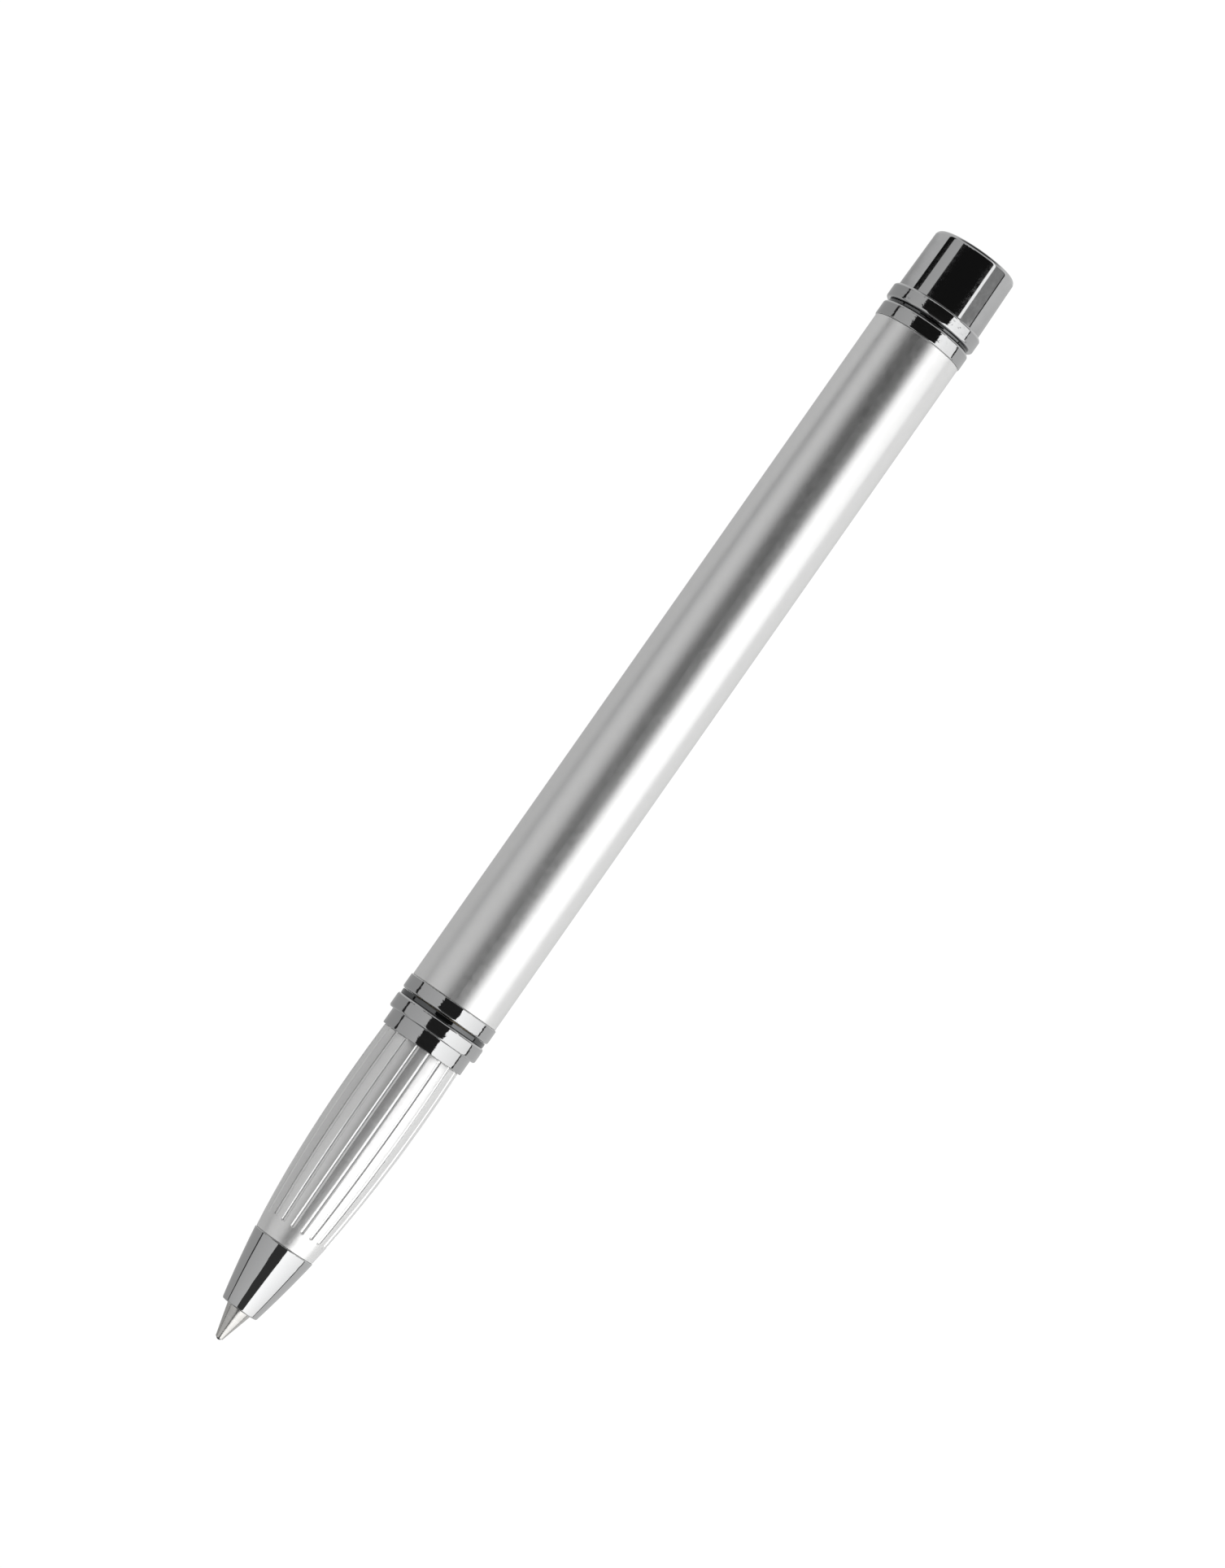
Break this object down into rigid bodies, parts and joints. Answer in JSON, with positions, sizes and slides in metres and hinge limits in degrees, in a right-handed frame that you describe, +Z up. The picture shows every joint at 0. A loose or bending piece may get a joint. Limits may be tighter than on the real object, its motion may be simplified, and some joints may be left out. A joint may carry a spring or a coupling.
{
  "type": "rollerball pen",
  "caption": "Capped rollerball pen with its cap off: satin metal barrel, fluted grip, chrome nose, rings and end knob, and a sprung refill that unscrews.",
  "frame": {"origin": "centre of the footprint, on the surface that the pen lies on, halfway along its length", "axes": "+X along the pen's axis, from the writing ball to the end knob; +Z up; +Y across"},
  "size_m": [0.1326, 0.0104, 0.0104],
  "materials": {
    "satin_barrel": "fine satin silver, even, not brushed in lines",
    "satin_grip": "fine satin silver with bright flutes",
    "chrome_nose": "polished chrome plate",
    "chrome_rings": "polished chrome plate",
    "chrome_knob": "polished chrome plate",
    "dark_chrome": "darker polished plate, in the grooves",
    "tip_steel": "turned stainless steel, fine rings",
    "ball_carbide": "polished tungsten carbide",
    "turned_brass": "turned brass, bare",
    "white_plastic": "moulded, semi-matt",
    "dark_plastic": "moulded, semi-matt",
    "refill_plastic": "moulded, slightly glossy",
    "ink_fibre": "bonded fibre soaked in ink",
    "seal_rubber": "moulded rubber",
    "spring_steel": "drawn wire"
  },
  "bodies": {
    "barrel": {"barrel_tube": "satin_barrel", "barrel_front_ring": "chrome_rings", "barrel_thread_bush": "turned_brass", "barrel_liner": "dark_plastic", "barrel_rear_ring": "chrome_rings", "tail_bush": "turned_brass", "spring_cup": "dark_plastic", "refill_spring": "spring_steel"},
    "seal": {"section_o_ring": "seal_rubber"},
    "section": {"nose_cone": "chrome_nose", "nose_bush": "white_plastic", "grip_shell": "satin_grip", "section_core": "turned_brass", "collar_sleeve": "chrome_rings", "collar_ring": "chrome_rings", "collar_groove_ring": "dark_chrome"},
    "refill": {"refill_tip": "tip_steel", "refill_nozzle": "white_plastic", "ink_feed": "ink_fibre", "ink_reservoir": "ink_fibre", "refill_tube": "refill_plastic", "refill_end_plug": "refill_plastic"},
    "ball": {"writing_ball": "ball_carbide"},
    "washer": {"knob_washer": "seal_rubber"},
    "knob": {"end_knob": "chrome_knob", "knob_ring": "chrome_rings", "knob_groove_ring": "dark_chrome", "tail_screw": "tip_steel"}
  },
  "joints": [
    {"name": "section_travel", "type": "slide", "parent": "barrel", "child": "seal", "axis": [-1, 0, 0], "range_m": [0, 0.0045], "deforming": ["refill_spring"]},
    {"name": "section_twist", "type": "hinge", "parent": "seal", "child": "section", "pos_m": [-0.03024, 0, 0.00522], "axis": [-1, 0, 0], "range_deg": [0, 2161]},
    {"name": "refill_push", "type": "slide", "parent": "seal", "child": "refill", "axis": [1, 0, 0], "range_m": [0, 0.0015], "stiffness_N_per_m": 60, "deforming": ["refill_spring"]},
    {"name": "ball_roll", "type": "hinge", "parent": "refill", "child": "ball", "pos_m": [-0.066, 0, 0.00522], "axis": [0, 1, 0], "continuous": true},
    {"name": "knob_travel", "type": "slide", "parent": "barrel", "child": "washer", "axis": [1, 0, 0], "range_m": [0, 0.0021]},
    {"name": "knob_twist", "type": "hinge", "parent": "washer", "child": "knob", "pos_m": [0.06265, 0, 0.00522], "axis": [1, 0, 0], "range_deg": [0, 1081]}
  ],
  "couplings": [
    {"joint": "section_twist", "follows": "section_travel", "rad_per_m": 8377.6},
    {"joint": "knob_twist", "follows": "knob_travel", "rad_per_m": 8976}
  ]
}
